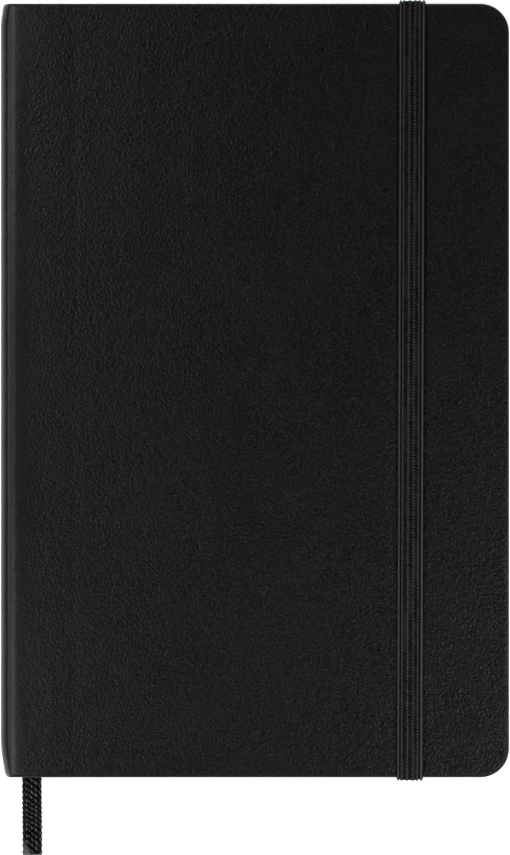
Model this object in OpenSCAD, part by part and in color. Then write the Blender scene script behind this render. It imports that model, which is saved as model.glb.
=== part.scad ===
// Pocket notebook: two flexible covers and a rounded spine around twelve sewn
// gatherings, with a pocket in the back, an elastic closure band and a ribbon.
// It lies on its back cover: +X to the fore edge, +Y to the head, +Z up.

/* [Overall size] */
// Height of the covers from head to tail
cover_height = 140; // [120:1:180]
// Width from the fore edge to the outermost line of the spine
cover_width = 92; // [80:1:110]
// Radius of the two fore-edge corners of the covers
cover_corner_radius = 5.2; // [2:0.1:10]

/* [Covers] */
// Finished thickness of each cover
cover_thickness = 1.0; // [0.9:0.05:1.6]
// Thickness of the leather-like skin on the outside
skin_thickness = 0.3; // [0.2:0.05:0.35]
// Thickness of the skin where it wraps the board's edges
rim_thickness = 0.25; // [0.15:0.05:0.4]
// Width of the skin turned in over the inside of the board
turn_in_width = 8; // [5:0.5:12]
// Thickness of one glued or loose end sheet
endpaper_thickness = 0.1; // [0.08:0.01:0.16]
// Distance from the cover's edges to the glued end sheet
pastedown_margin = 2.5; // [1.5:0.5:5]

/* [Spine] */
// How far the rounded spine stands out beyond the covers' edges
spine_bulge = 1.0; // [0.5:0.1:2]
// Thickness of the skin over the spine
spine_skin_thickness = 0.4; // [0.3:0.05:0.5]
// Thickness of the card strip inside the spine
spine_strip_thickness = 0.25; // [0.15:0.05:0.4]
// Thickness of the cloth lining glued to the gatherings
spine_lining_thickness = 0.2; // [0.1:0.05:0.3]

/* [Pages] */
// Thickness of one gathering of eight leaves
gathering_thickness = 0.68; // [0.5:0.02:0.9]
// Distance from the covers' head and tail edges to the pages
page_inset = 1.6; // [1:0.1:3]
// Distance from the covers' fore edge to the pages
page_fore_inset = 1.8; // [1:0.1:3]
// Radius of the pages' fore-edge corners
page_corner_radius = 4; // [2:0.1:8]
// Length of the sewing thread along each fold
sewn_length = 110; // [90:1:124]

/* [Pocket] */
// Thickness of the pocket's card panel
pocket_panel_thickness = 0.35; // [0.2:0.05:0.6]
// Height of the folded cloth that joins the panel to the cover
pocket_fold_height = 0.45; // [0.3:0.05:0.6]
// Width of the folded cloth
pocket_cloth_width = 10; // [6:1:14]

/* [Closure band] */
// Width of the elastic band
band_width = 4.7; // [3:0.1:8]
// Thickness of the elastic band
band_thickness = 0.6; // [0.4:0.05:0.8]
// Distance from the fore edge to the band's centre line
band_inset = 17.7; // [10:0.1:30]
// Distance from the head or tail edge to the band's slot in the back cover
band_slot_inset = 10; // [6:0.5:16]

/* [Ribbon] */
// Width of the ribbon
ribbon_width = 3.5; // [3:0.1:5]
// Thickness of the ribbon
ribbon_thickness = 0.6; // [0.3:0.05:0.6]

/* [Hidden] */

leather_color = [0.09, 0.09, 0.09];
elastic_color = [0.13, 0.13, 0.13];
ribbon_color = [0.1, 0.1, 0.11];
paper_color = [0.94, 0.91, 0.8];
board_color = [0.6, 0.58, 0.54];
cloth_color = [0.2, 0.2, 0.21];
thread_color = [0.93, 0.92, 0.88];

gathering_count = 12;
leaf_gap = 0.02;        // between two stacked gatherings or end leaves
body_gap = 0.04;        // between the page block and what lies on either side
arc_steps = 10;         // straight pieces in a rounded corner
spine_steps = 16;       // straight pieces across the spine
nose_steps = 6;         // straight pieces round a gathering's fold

half_height = cover_height / 2;
fore_x = cover_width / 2;
spine_x = -cover_width / 2;

// heights, from the table up
pastedown_z = cover_thickness;
pocket_back_z = pastedown_z + endpaper_thickness;
pocket_fold_z = pocket_back_z + endpaper_thickness;
pocket_panel_z = pocket_fold_z + pocket_fold_height;
back_flyleaf_z = pocket_panel_z + pocket_panel_thickness + body_gap;
first_gathering_z = back_flyleaf_z + endpaper_thickness + leaf_gap;
gathering_pitch = gathering_thickness + leaf_gap;
front_flyleaf_z = first_gathering_z + gathering_count * gathering_pitch;
front_pastedown_z = front_flyleaf_z + endpaper_thickness + body_gap;
front_cover_z = front_pastedown_z + endpaper_thickness;
total_thickness = front_cover_z + cover_thickness;
mid_z = total_thickness / 2;

// the rounded spine is an arc through the covers' outer faces
spine_radius = (spine_bulge * spine_bulge + mid_z * mid_z) / (2 * spine_bulge);
spine_centre_x = spine_x + spine_radius;
strip_clearance = 0.02;
strip_inset = spine_skin_thickness + strip_clearance;
lining_inset = strip_inset + spine_strip_thickness;
fold_clearance = 0.05;
fold_inset = lining_inset + spine_lining_thickness + fold_clearance;
spine_end_margin = 0.35;   // the strip and lining stop this far inside the covers' faces
strip_length = cover_height - 2;
lining_length = cover_height - 12;
tongue_x = spine_x + 1.45; // the covers' skins reach to the spine's skin here
slab_x = spine_x + 1.9;    // the boards start here
tongue_overlap = 0.5;
end_leaf_start = 0.6;      // end sheets start this far from the boards or the fold
plateau_corner_radius = 2;
endpaper_corner_radius = 3;

page_fore_x = fore_x - page_fore_inset;
page_half_height = half_height - page_inset;
thread_size = 0.26;
thread_clearance = 0.02;
thread_end_room = 0.5;

pocket_spine_x = spine_x + 12;
pocket_fore_x = fore_x - 3;
pocket_half_height = half_height - 4;
pocket_corner_radius = 3;
pocket_cloth_thickness = 0.15;

band_x = fore_x - band_inset;
band_leg_clearance = 0.05;
band_inner_y = half_height + band_leg_clearance;
band_slot_y = half_height - band_slot_inset;
band_tab_length = 8;
band_tab_thickness = 0.5;
rib_count = 6;
rib_gap = 0.3;
rib_depth = 0.12;

// the ribbon comes out of the spine at the head, lies between the sixth and
// seventh gatherings and falls from the tail edge to the table
ribbon_z = first_gathering_z + 6 * gathering_pitch - leaf_gap / 2;
ribbon_x = spine_x + 5.6;
ribbon_route = [
  [ribbon_x - 2.2, 69, ribbon_z],
  [ribbon_x - 0.8, 67.5, ribbon_z],
  [ribbon_x, 64, ribbon_z],
  [ribbon_x, 56, ribbon_z],
  [ribbon_x, 46, ribbon_z],
  [ribbon_x, 36, ribbon_z],
  [ribbon_x, 26, ribbon_z],
  [ribbon_x, 16, ribbon_z],
  [ribbon_x, 6, ribbon_z],
  [ribbon_x, -4, ribbon_z],
  [ribbon_x, -14, ribbon_z],
  [ribbon_x, -24, ribbon_z],
  [ribbon_x, -34, ribbon_z],
  [ribbon_x, -44, ribbon_z],
  [ribbon_x, -54, ribbon_z],
  [ribbon_x, -64, ribbon_z],
  [ribbon_x, -69.5, ribbon_z],
  [ribbon_x, -72.5, 5.9],
  [ribbon_x, -75, 4.6],
  [ribbon_x, -77, 2.8],
  [ribbon_x, -79, 1.2],
  [ribbon_x, -81.5, 0.5],
  [ribbon_x, -84.3, 0.35]
];
ribbon_channel_clearance = 0.2;
ribbon_channel_depth = ribbon_thickness / 2 + 0.01;
ribbon_head_width = 6.4;   // the channel widens where the ribbon slants at the head
ribbon_head_start_y = 60;
ribbon_edge = 0.25;        // width of the ribbon's thinned edges
ribbon_edge_share = 0.4;   // thickness left at the very edge
cut_margin = 1;            // how far a cutting shape runs past what it cuts

// x of the spine's surface at height z, moved inwards by inset
function spine_surface_x(z, inset) =
  spine_centre_x - sqrt(pow(spine_radius - inset, 2) - pow(z - mid_z, 2));

function spine_line(inset, z0, z1) =
  [for (i = [0:spine_steps]) let (z = z0 + (z1 - z0) * i / spine_steps)
    [spine_surface_x(z, inset), z]];

function corner(cx, cy, r, start) =
  [for (i = [0:arc_steps]) let (a = start + 90 * i / arc_steps)
    [cx + r * cos(a), cy + r * sin(a)]];

// a leaf outline with two rounded corners at the fore edge
module leaf_outline(x0, x1, half_y, r)
  polygon(concat(
    [[x0, half_y], [x0, -half_y]],
    corner(x1 - r, -half_y + r, r, -90),
    corner(x1 - r, half_y - r, r, 0)));

module sheet(x0, x1, half_y, r, z, thickness)
  translate([0, 0, z]) linear_extrude(thickness) leaf_outline(x0, x1, half_y, r);

// a section drawn in x and z, drawn out along y
module along_y(length)
  rotate([90, 0, 0]) translate([0, 0, -length / 2]) linear_extrude(length) children();

// a section drawn in y and z, drawn out along x about the given x
module along_x(x, width)
  translate([x - width / 2, 0, 0]) rotate([90, 0, 90]) linear_extrude(width) children();

// a box between two opposite corners
module block(low, high) translate(low) cube(high - low);

// the board fills the skin's hollow: a full plate and a plateau inside the turn-in
module board_shape() {
  sheet(slab_x, fore_x - rim_thickness, half_height - rim_thickness,
    cover_corner_radius - rim_thickness, skin_thickness,
    cover_thickness - skin_thickness - rim_thickness);
  sheet(slab_x, fore_x - turn_in_width, half_height - turn_in_width, plateau_corner_radius,
    skin_thickness, cover_thickness - skin_thickness);
}

module skin_shape() {
  difference() {
    sheet(slab_x, fore_x, half_height, cover_corner_radius, 0, cover_thickness);
    board_shape();
  }
  block([tongue_x, -half_height, 0], [slab_x + tongue_overlap, half_height, skin_thickness]);
}

module pastedown_shape()
  sheet(slab_x + end_leaf_start, fore_x - pastedown_margin,
    half_height - pastedown_margin, endpaper_corner_radius,
    cover_thickness, endpaper_thickness);

module on_front() translate([0, 0, total_thickness]) mirror([0, 0, 1]) children();

// the band's end: it lies in the back cover's channel, rises through the slot
// and is glued as a tab under the end sheet
module band_end_section()
  polygon([
    [band_inner_y, 0], [band_inner_y, band_thickness],
    [band_slot_y + band_thickness, band_thickness],
    [band_slot_y + band_thickness, cover_thickness],
    [band_slot_y - band_tab_length, cover_thickness],
    [band_slot_y - band_tab_length, cover_thickness - band_tab_thickness],
    [band_slot_y, cover_thickness - band_tab_thickness],
    [band_slot_y, 0]]);

module band_end_shape() along_x(band_x, band_width) band_end_section();

module band_channels() {
  band_end_shape();
  mirror([0, 1, 0]) band_end_shape();
}

// the band's ribbed cross-section, flat below and ribbed above
function rib_points(i) =
  let (pitch = (band_width + rib_gap) / rib_count,
    left = -band_width / 2 + i * pitch, right = left + pitch - rib_gap,
    low = band_thickness - rib_depth)
  concat(i > 0 ? [[left, low]] : [],
    [[left, band_thickness], [right, band_thickness]],
    i < rib_count - 1 ? [[right, low]] : []);

module band_section()
  polygon(concat(
    [[band_width / 2, 0], [-band_width / 2, 0]],
    [for (i = [0:rib_count - 1]) each rib_points(i)]));

module band_leg_shape()
  translate([band_x, band_inner_y, 0]) linear_extrude(total_thickness) band_section();

// gathering k, counted from the front: 1 lies on top and 12 at the bottom
function gathering_z(k) = first_gathering_z + (gathering_count - k) * gathering_pitch;
function fold_x(k) = spine_surface_x(gathering_z(k) + gathering_thickness / 2, fold_inset);

module gathering_section(k) {
  r = gathering_thickness / 2;
  z = gathering_z(k) + r;
  x = fold_x(k) + r;
  polygon(concat(
    [for (i = [0:nose_steps]) let (a = 90 + 180 * i / nose_steps)
      [x + r * cos(a), z + r * sin(a)]],
    [[page_fore_x + cut_margin, z - r], [page_fore_x + cut_margin, z + r]]));
}

module fold_groove(k) {
  z = gathering_z(k) + gathering_thickness / 2;
  reach = thread_size / 2 + thread_clearance;
  half = sewn_length / 2 + thread_end_room;
  block([fold_x(k) - cut_margin, -half, z - reach],
    [fold_x(k) + thread_size + 2 * thread_clearance, half, z + reach]);
}

module ribbon_channel() {
  half = ribbon_width / 2 + ribbon_channel_clearance;
  low = ribbon_z - leaf_gap / 2 - ribbon_channel_depth;
  high = ribbon_z + leaf_gap / 2 + ribbon_channel_depth;
  block([ribbon_x - half, -half_height, low], [ribbon_x + half, half_height, high]);
  block([ribbon_x + half - ribbon_head_width, ribbon_head_start_y, low],
    [ribbon_x + half, half_height, high]);
}

module gathering(k)
  difference() {
    intersection() {
      sheet(spine_x, page_fore_x, page_half_height, page_corner_radius,
        gathering_z(k) - cut_margin, gathering_thickness + 2 * cut_margin);
      along_y(2 * half_height) gathering_section(k);
    }
    fold_groove(k);
    if (k == 6 || k == 7) ribbon_channel();
  }

module thread(k) {
  z = gathering_z(k) + gathering_thickness / 2;
  x = fold_x(k) + thread_clearance;
  block([x, -sewn_length / 2, z - thread_size / 2],
    [x + thread_size, sewn_length / 2, z + thread_size / 2]);
}

// folded cloth seen end on: two layers joined by a fold at the low end
module cloth_section(low, high)
  polygon([
    [low, 0], [high, 0], [high, pocket_cloth_thickness],
    [low + pocket_cloth_thickness, pocket_cloth_thickness],
    [low + pocket_cloth_thickness, pocket_fold_height - pocket_cloth_thickness],
    [high, pocket_fold_height - pocket_cloth_thickness],
    [high, pocket_fold_height], [low, pocket_fold_height]]);

module gusset_shape() {
  gusset_fore_x = pocket_fore_x - pocket_corner_radius;
  translate([0, 0, pocket_fold_z])
    along_x((pocket_spine_x + gusset_fore_x) / 2, gusset_fore_x - pocket_spine_x)
      cloth_section(pocket_half_height - pocket_cloth_width, pocket_half_height);
}

// the ribbon: rings of eight points swept along its route
ribbon_ring = let (w = ribbon_width / 2, t = ribbon_thickness / 2, e = t * ribbon_edge_share)
  [[w, e], [w - ribbon_edge, t], [ribbon_edge - w, t], [-w, e],
   [-w, -e], [ribbon_edge - w, -t], [w - ribbon_edge, -t], [w, -e]];
ring_size = len(ribbon_ring);
route_last = len(ribbon_route) - 1;

function unit(v) = v / norm(v);
function route_tangent(i) =
  unit(ribbon_route[min(i + 1, route_last)] - ribbon_route[max(i - 1, 0)]);
function route_side(i) = let (t = route_tangent(i)) unit([-t[1], t[0], 0]);
function ring_at(i) =
  let (s = route_side(i), n = cross(route_tangent(i), s))
  [for (p = ribbon_ring) ribbon_route[i] + p[0] * s + p[1] * n];

module ribbon_shape()
  polyhedron(
    points = [for (i = [0:route_last]) each ring_at(i)],
    faces = concat(
      [[for (j = [0:ring_size - 1]) j]],
      [for (i = [0:route_last - 1]) for (j = [0:ring_size - 1])
        let (a = i * ring_size + j, b = i * ring_size + (j + 1) % ring_size)
        each [[a, a + ring_size, b + ring_size], [a, b + ring_size, b]]],
      [[for (j = [ring_size - 1:-1:0]) route_last * ring_size + j]]));

module back_skin() color(leather_color) difference() { skin_shape(); band_channels(); }
module back_board() color(board_color) difference() { board_shape(); band_channels(); }
module back_pastedown() color(paper_color) pastedown_shape();

module pocket_back() color(paper_color)
  sheet(pocket_spine_x, pocket_fore_x, pocket_half_height, pocket_corner_radius,
    pocket_back_z, endpaper_thickness);
module pocket_gusset_head() color(cloth_color) gusset_shape();
module pocket_gusset_tail() color(cloth_color) mirror([0, 1, 0]) gusset_shape();
module pocket_hinge_cloth() color(cloth_color)
  translate([0, 0, pocket_fold_z])
    along_y(2 * (pocket_half_height - pocket_cloth_width))
      cloth_section(pocket_fore_x - pocket_cloth_width, pocket_fore_x);
module pocket_panel() color(paper_color)
  sheet(pocket_spine_x, pocket_fore_x, pocket_half_height, pocket_corner_radius,
    pocket_panel_z, pocket_panel_thickness);

module spine_skin() color(leather_color) along_y(cover_height)
  polygon(concat(spine_line(0, 0, total_thickness),
    spine_line(spine_skin_thickness, total_thickness, 0)));
module spine_strip() color(board_color) along_y(strip_length)
  polygon(concat(spine_line(strip_inset, spine_end_margin, total_thickness - spine_end_margin),
    spine_line(lining_inset, total_thickness - spine_end_margin, spine_end_margin)));
module spine_lining() color(cloth_color) along_y(lining_length)
  polygon(concat(spine_line(lining_inset, spine_end_margin, total_thickness - spine_end_margin),
    spine_line(lining_inset + spine_lining_thickness,
      total_thickness - spine_end_margin, spine_end_margin)));

module band_end_head() color(elastic_color) band_end_shape();
module band_end_tail() color(elastic_color) mirror([0, 1, 0]) band_end_shape();
module band_leg_head() color(elastic_color) band_leg_shape();
module band_leg_tail() color(elastic_color) mirror([0, 1, 0]) band_leg_shape();
module band_front() color(elastic_color)
  translate([band_x, 0, total_thickness])
    along_y(2 * (band_inner_y + band_thickness)) band_section();

module back_flyleaf() color(paper_color)
  sheet(fold_x(12) + end_leaf_start, page_fore_x, page_half_height, page_corner_radius,
    back_flyleaf_z, endpaper_thickness);
module front_flyleaf() color(paper_color)
  sheet(fold_x(1) + end_leaf_start, page_fore_x, page_half_height, page_corner_radius,
    front_flyleaf_z, endpaper_thickness);

module signature_01() color(paper_color) gathering(1);
module signature_02() color(paper_color) gathering(2);
module signature_03() color(paper_color) gathering(3);
module signature_04() color(paper_color) gathering(4);
module signature_05() color(paper_color) gathering(5);
module signature_06() color(paper_color) gathering(6);
module signature_07() color(paper_color) gathering(7);
module signature_08() color(paper_color) gathering(8);
module signature_09() color(paper_color) gathering(9);
module signature_10() color(paper_color) gathering(10);
module signature_11() color(paper_color) gathering(11);
module signature_12() color(paper_color) gathering(12);

module thread_01() color(thread_color) thread(1);
module thread_02() color(thread_color) thread(2);
module thread_03() color(thread_color) thread(3);
module thread_04() color(thread_color) thread(4);
module thread_05() color(thread_color) thread(5);
module thread_06() color(thread_color) thread(6);
module thread_07() color(thread_color) thread(7);
module thread_08() color(thread_color) thread(8);
module thread_09() color(thread_color) thread(9);
module thread_10() color(thread_color) thread(10);
module thread_11() color(thread_color) thread(11);
module thread_12() color(thread_color) thread(12);

module front_pastedown() color(paper_color) on_front() pastedown_shape();
module front_board() color(board_color) on_front() board_shape();
module front_skin() color(leather_color) on_front() skin_shape();

module ribbon_bookmark() color(ribbon_color) ribbon_shape();

back_skin();
back_board();
back_pastedown();
pocket_back();
pocket_gusset_head();
pocket_gusset_tail();
pocket_hinge_cloth();
pocket_panel();
spine_skin();
spine_strip();
spine_lining();
band_end_head();
band_end_tail();
back_flyleaf();
signature_12();
signature_11();
signature_10();
signature_09();
signature_08();
signature_07();
signature_06();
signature_05();
signature_04();
signature_03();
signature_02();
signature_01();
thread_12();
thread_11();
thread_10();
thread_09();
thread_08();
thread_07();
thread_06();
thread_05();
thread_04();
thread_03();
thread_02();
thread_01();
front_flyleaf();
front_pastedown();
front_board();
front_skin();
band_front();
band_leg_head();
band_leg_tail();
ribbon_bookmark();
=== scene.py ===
"""Looks of the pocket notebook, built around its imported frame.

Lengths below are in millimetres in the frame's axes: +X to the fore edge, +Y to the
head, +Z up from the table. They become metres where a mesh is made.
"""

import math
import random

import bpy
import numpy as np
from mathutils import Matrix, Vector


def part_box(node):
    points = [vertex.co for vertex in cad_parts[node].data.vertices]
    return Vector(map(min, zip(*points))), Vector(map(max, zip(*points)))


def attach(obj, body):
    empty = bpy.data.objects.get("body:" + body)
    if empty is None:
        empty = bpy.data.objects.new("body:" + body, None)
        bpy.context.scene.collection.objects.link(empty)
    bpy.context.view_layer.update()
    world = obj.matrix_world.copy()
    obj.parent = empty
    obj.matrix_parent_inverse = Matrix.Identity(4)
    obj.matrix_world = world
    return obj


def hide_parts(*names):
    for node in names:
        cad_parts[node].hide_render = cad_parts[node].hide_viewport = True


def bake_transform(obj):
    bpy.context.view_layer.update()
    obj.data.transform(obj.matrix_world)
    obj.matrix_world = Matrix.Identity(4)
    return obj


MM = 0.001
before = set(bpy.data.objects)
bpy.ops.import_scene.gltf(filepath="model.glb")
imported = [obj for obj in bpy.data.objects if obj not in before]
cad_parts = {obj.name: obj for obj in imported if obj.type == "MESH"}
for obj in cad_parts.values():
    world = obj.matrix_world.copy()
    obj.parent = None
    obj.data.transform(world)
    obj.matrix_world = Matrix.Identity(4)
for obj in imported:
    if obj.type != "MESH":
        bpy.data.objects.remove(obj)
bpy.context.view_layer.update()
rng = random.Random(11)


def node_box(node):
    low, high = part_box(node)
    return np.array(low) / MM, np.array(high) / MM


SKIN_LOW, SKIN_HIGH = node_box("front_skin")
SPINE_X = node_box("spine_skin")[0][0]
FORE_X, HALF_Y, TOP_Z = SKIN_HIGH
COVER_T = TOP_Z - SKIN_LOW[2]
MID_Z = TOP_Z / 2
PAGE_LOW, PAGE_HIGH = node_box("signature_07")
GATHERINGS = 12


def gathering(k):
    return f"signature_{k:02d}"


def smooth(t):
    t = np.clip(t, 0.0, 1.0)
    return t * t * (3 - 2 * t)


# ---------------------------------------------------------------- camera
PHOTO_SCALE = 0.1809        # millimetres of cover for each unit of the frame's height
VIEW_HEIGHT = 855 * PHOTO_SCALE
LENS, SENSOR = 800.0, 36.0
VIEW_CENTRE = (0.03, -6.69)


def add_camera():
    data = bpy.data.cameras.new("camera")
    data.lens, data.sensor_width = LENS, SENSOR
    data.clip_start, data.clip_end = 0.05, 10
    camera = bpy.data.objects.new("camera", data)
    bpy.context.scene.collection.objects.link(camera)
    height = TOP_Z + VIEW_HEIGHT * LENS / SENSOR
    camera.location = (VIEW_CENTRE[0] * MM, VIEW_CENTRE[1] * MM, height * MM)
    bpy.context.scene.camera = camera


add_camera()


# ---------------------------------------------------------------- node materials
WAVE_SCALE = 0.314          # the wave texture's scale that repeats once in each unit
BLACK = (0.0005, 0.0005, 0.0005)


class Nodes:
    """Builds one node material step by step."""

    def __init__(self, name, color, roughness):
        self.material = bpy.data.materials.new(name)
        self.material.use_nodes = True
        self.tree = self.material.node_tree
        self.shader = self.tree.nodes["Principled BSDF"]
        self.shader.inputs["Base Color"].default_value = (*color, 1)
        self.shader.inputs["Roughness"].default_value = roughness
        self.material.diffuse_color = (*color, 1)
        self.place = self.add("ShaderNodeTexCoord").outputs["Object"]

    def add(self, kind, **values):
        node = self.tree.nodes.new(kind)
        for key, value in values.items():
            setattr(node, key, value)
        return node

    def put(self, value, socket):
        if isinstance(value, bpy.types.NodeSocket):
            self.tree.links.new(value, socket)
        else:
            socket.default_value = value

    def noise(self, size, detail=2.0, rough=0.5, distortion=0.0):
        """Noise whose features are about size millimetres across."""
        node = self.add("ShaderNodeTexNoise")
        self.put(self.place, node.inputs["Vector"])
        node.inputs["Scale"].default_value = 1 / (size * MM)
        node.inputs["Detail"].default_value = detail
        node.inputs["Roughness"].default_value = rough
        node.inputs["Distortion"].default_value = distortion
        return node.outputs["Fac"]

    def cells(self, size):
        node = self.add("ShaderNodeTexVoronoi", feature="SMOOTH_F1")
        self.put(self.place, node.inputs["Vector"])
        node.inputs["Scale"].default_value = 1 / (size * MM)
        return node.outputs["Distance"]

    def wave(self, size, direction, distortion=0.0):
        """Bands that repeat every size millimetres."""
        node = self.add("ShaderNodeTexWave", bands_direction=direction)
        self.put(self.place, node.inputs["Vector"])
        node.inputs["Scale"].default_value = WAVE_SCALE / (size * MM)
        node.inputs["Distortion"].default_value = distortion
        return node.outputs["Fac"]

    def math(self, operation, a, b):
        node = self.add("ShaderNodeMath", operation=operation)
        self.put(a, node.inputs[0])
        self.put(b, node.inputs[1])
        return node.outputs[0]

    def plus(self, a, b):
        return self.math("ADD", a, b)

    def times(self, a, b):
        return self.math("MULTIPLY", a, b)

    def along_x(self):
        split = self.add("ShaderNodeSeparateXYZ")
        self.put(self.place, split.inputs[0])
        return split.outputs["X"]

    def fit(self, value, low, high, to_low=0.0, to_high=1.0):
        """Value's range from low to high, carried over to to_low to to_high and kept inside."""
        node = self.add("ShaderNodeMapRange")
        self.put(value, node.inputs["Value"])
        for name, x in (("From Min", low), ("From Max", high),
                        ("To Min", to_low), ("To Max", to_high)):
            node.inputs[name].default_value = x
        return node.outputs["Result"]

    def mix_colors(self, factor, first, second):
        node = self.add("ShaderNodeMix", data_type="RGBA")
        self.put(factor, node.inputs[0])
        node.inputs[6].default_value = (*first, 1)
        node.inputs[7].default_value = (*second, 1)
        self.put(node.outputs[2], self.shader.inputs["Base Color"])

    def specular(self, level):
        self.shader.inputs["Specular IOR Level"].default_value = level

    def rough(self, value):
        self.put(value, self.shader.inputs["Roughness"])

    def bump(self, height, depth, strength=1.0, before=None):
        node = self.add("ShaderNodeBump")
        node.inputs["Strength"].default_value = strength
        node.inputs["Distance"].default_value = depth * MM
        self.put(height, node.inputs["Height"])
        if before is not None:
            self.put(before, node.inputs["Normal"])
        self.put(node.outputs["Normal"], self.shader.inputs["Normal"])
        return node.outputs["Normal"]

    def attribute(self, name):
        """A value that set_painted_light keeps on the mesh's points."""
        return self.add("ShaderNodeAttribute", attribute_name=name).outputs["Fac"]


# The skin near the spine, as X in metres: the grain fades in from the shoulder, the shoulder
# has a painted highlight that lightens its colour up to the crease, and the spine's rim is
# smoother.
GRAIN_FADES_IN = (-0.0436, -0.037)
SHOULDER_HIGHLIGHT_STARTS = (-0.0446, -0.0438)
SHOULDER_HIGHLIGHT_ENDS = (-0.0436, -0.0365)
RIM_ENDS = (-0.0448, -0.0432)
GRAIN_LEFT_ON_SPINE = 0.12
SKIN_DARK, SKIN_LIGHT = (0.0006, 0.0006, 0.0006), (0.02, 0.02, 0.0206)


def leather_material():
    m = Nodes("grained_black_skin", (0.006, 0.006, 0.0062), 0.45)
    x = m.along_x()
    from_spine = m.fit(x, *GRAIN_FADES_IN, GRAIN_LEFT_ON_SPINE, 1.0)
    pebbles = m.fit(m.cells(0.4), 0.1, 0.75, 1.0, 0.0)
    folds = m.noise(0.55, detail=2.0, rough=0.55, distortion=0.9)
    grain = m.plus(m.times(pebbles, 0.5), folds)
    soft = m.noise(7.0, detail=3.0)
    first = m.bump(soft, 0.4, 0.5)
    second = m.bump(m.times(grain, from_spine), 0.17, 1.0, before=first)
    m.bump(m.noise(0.15, detail=1.0), 0.02, 0.6, before=second)
    pits = m.fit(m.noise(0.42, detail=2.0), 0.34, 0.6, -0.5, 0.5)
    pits = m.plus(m.times(pits, from_spine), 0.5)
    patches = m.noise(14.0, detail=3.0)
    # painted highlight along the rounded shoulder: the colour is lightened most at the shoulder,
    # fading out over about 7 mm towards the flat cover
    painted_shoulder_highlight = m.times(m.fit(x, *SHOULDER_HIGHLIGHT_STARTS), m.fit(x, *SHOULDER_HIGHLIGHT_ENDS, 0.45, 0.0))
    # random lighter patches of the skin, plus the painted shoulder highlight
    light = m.plus(m.fit(patches, 0.3, 0.7, 0.25, 0.42), painted_shoulder_highlight)
    m.mix_colors(m.times(pits, light), SKIN_DARK, SKIN_LIGHT)
    wear = m.plus(m.times(patches, 0.3), m.times(pits, 0.4))
    m.rough(m.plus(m.fit(wear, 0.1, 0.6, 0.28, 0.46), m.fit(x, *RIM_ENDS, -0.1, 0.0)))
    m.specular(0.3)
    return m.material


def yarn_material(name, base, size, direction, twist, lustre):
    """Black yarn whose colour is lightened by painted highlights on its stitches and darkened to
    near black by painted shade in its pits, as the point attribute gives.
    """
    m = Nodes(name, base, lustre["base_rough"])
    yarn = m.wave(size, direction, distortion=twist)
    fuzz = m.noise(lustre["fuzz_size"], detail=3.0)
    first = m.bump(yarn, lustre["depth"], 0.4)
    m.bump(fuzz, lustre["depth"], lustre["fuzz_strength"], before=first)
    # painted highlight and shade: the point attribute, varied in patches, mixes the colour
    # between dark and light
    uneven_light = m.fit(m.noise(lustre["patch"], detail=2.0), 0.3, 0.7, lustre["least"], 1.0)
    lift_and_painted_light = m.times(m.attribute("lift_and_painted_light"), uneven_light)
    m.mix_colors(lift_and_painted_light, lustre["dark"], lustre["light"])
    m.rough(m.plus(m.fit(fuzz, 0.3, 0.7, -0.08, 0.08),
                   m.fit(lift_and_painted_light, 0.0, 0.4, 0.9, lustre["lit_rough"])))
    m.specular(lustre["specular"])
    return m.material


def elastic_material():
    return yarn_material("elastic_braid", (0.01, 0.01, 0.0104), 0.16, "Y", 2.0, {
        "base_rough": 0.5, "fuzz_size": 0.12, "fuzz_strength": 0.4, "depth": 0.02,
        "patch": 0.6, "least": 0.8, "dark": BLACK, "light": (0.115, 0.115, 0.118),
        "lit_rough": 0.5, "specular": 0.22})


def ribbon_material():
    return yarn_material("ribbon_braid", (0.006, 0.006, 0.0065), 0.09, "DIAGONAL", 3.0, {
        "base_rough": 0.4, "fuzz_size": 0.1, "fuzz_strength": 0.3, "depth": 0.015,
        "patch": 0.8, "least": 0.7, "dark": (0.0005, 0.0005, 0.0006),
        "light": (0.235, 0.235, 0.24), "lit_rough": 0.48, "specular": 0.14})


def paper_material(name, light, dark, grain=0.35):
    m = Nodes(name, light, 0.85)
    fibres = m.noise(grain, detail=4.0, rough=0.65, distortion=0.5)
    clouds = m.noise(22.0, detail=3.0)
    m.mix_colors(m.fit(m.plus(fibres, clouds), 0.75, 1.3), light, dark)
    m.bump(fibres, 0.015, 0.35)
    m.rough(m.fit(fibres, 0.3, 0.7, 0.78, 0.92))
    return m.material


def cloth_material(name, light, dark, pitch):
    m = Nodes(name, light, 0.85)
    weave = m.times(m.wave(pitch, "X", 0.6), m.wave(pitch, "Y", 0.6))
    fuzz = m.noise(pitch * 0.6, detail=3.0)
    m.mix_colors(m.plus(m.times(weave, 0.7), m.times(fuzz, 0.4)), dark, light)
    first = m.bump(weave, 0.06, 0.6)
    m.bump(fuzz, 0.03, 0.4, before=first)
    m.rough(m.fit(fuzz, 0.3, 0.7, 0.78, 0.95))
    return m.material


def board_material():
    m = Nodes("grey_board", (0.3, 0.28, 0.24), 0.9)
    flecks = m.noise(0.5, detail=5.0, rough=0.7)
    m.mix_colors(m.fit(flecks, 0.35, 0.65), (0.36, 0.33, 0.28), (0.22, 0.2, 0.17))
    m.bump(flecks, 0.04, 0.5)
    m.rough(m.fit(flecks, 0.3, 0.7, 0.82, 0.96))
    return m.material


def thread_material():
    m = Nodes("waxed_thread", (0.7, 0.68, 0.6), 0.6)
    twist = m.wave(0.22, "DIAGONAL", distortion=0.5)
    m.mix_colors(twist, (0.5, 0.48, 0.41), (0.78, 0.76, 0.69))
    m.bump(twist, 0.05, 0.7)
    m.rough(m.fit(twist, 0.0, 1.0, 0.5, 0.7))
    return m.material


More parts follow.
